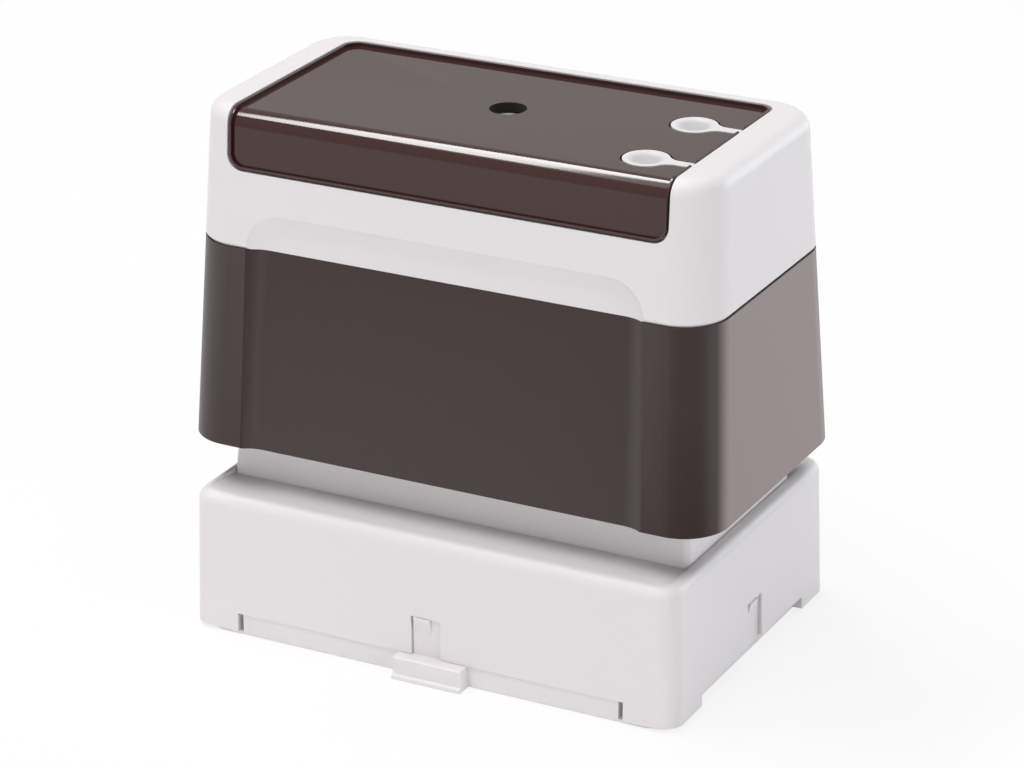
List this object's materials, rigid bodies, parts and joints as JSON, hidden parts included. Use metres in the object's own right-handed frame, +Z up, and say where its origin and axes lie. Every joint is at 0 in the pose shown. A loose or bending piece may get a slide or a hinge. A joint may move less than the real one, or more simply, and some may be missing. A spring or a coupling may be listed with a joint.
{
  "type": "pre-inked stamp",
  "caption": "Pre-inked rectangular hand stamp in its clip-on protective cap: dark casing, white handle, sprung skirt, label cover and tethered ink plugs.",
  "frame": {"origin": "middle of the bounding box on the plane that the cap rests on", "axes": "+Z up along the press direction, +X along the long side towards the ink plugs, -Y the front with the cover's flap"},
  "size_m": [0.074, 0.0506, 0.0688],
  "materials": {
    "white_plastic": "satin",
    "dark_plastic": "satin",
    "dark_gloss": "gloss",
    "white_card": "matte",
    "dark_rubber": "matte",
    "inked_foam": "matte",
    "die_rubber": "matte",
    "screw_steel": "bright",
    "spring_steel": "satin"
  },
  "bodies": {
    "cap": {"cap": "white_plastic"},
    "handle": {"lower_casing": "dark_plastic", "handle_shell": "white_plastic", "label_card": "white_card", "port_gasket_front": "dark_rubber", "port_gasket_rear": "dark_rubber", "ink_tank": "dark_plastic", "tank_lid": "dark_plastic", "ink_foam": "inked_foam", "die_holder": "dark_plastic", "die_mount_sheet": "white_card", "stamp_die": "die_rubber", "die_retainer": "dark_plastic", "fixing_screws": "screw_steel", "return_spring_left": "spring_steel", "return_spring_right": "spring_steel"},
    "skirt": {"skirt": "white_plastic"},
    "label_cover": {"label_cover": "dark_gloss"},
    "ink_plug_front": {"ink_plug_front": "white_plastic"},
    "ink_plug_rear": {"ink_plug_rear": "white_plastic"}
  },
  "joints": [
    {"name": "cap_lift_off", "type": "slide", "parent": "cap", "child": "handle", "axis": [0, 0, 1], "range_m": [0, 0.03]},
    {"name": "stamp_press", "type": "slide", "parent": "handle", "child": "skirt", "axis": [0, 0, 1], "range_m": [0, 0.005], "stiffness_N_per_m": 1200, "springref_m": -0.006, "deforming": ["return_spring_left", "return_spring_right"]},
    {"name": "cover_lift_off", "type": "slide", "parent": "handle", "child": "label_cover", "axis": [0, 0, 1], "range_m": [0, 0.02]},
    {"name": "front_plug_hinge", "type": "hinge", "parent": "handle", "child": "ink_plug_front", "pos_m": [0.0294, -0.0095, 0.06795], "axis": [0, 1, 0], "range_deg": [0, 100]},
    {"name": "rear_plug_hinge", "type": "hinge", "parent": "handle", "child": "ink_plug_rear", "pos_m": [0.0294, 0.004, 0.06795], "axis": [0, 1, 0], "range_deg": [0, 100]}
  ]
}
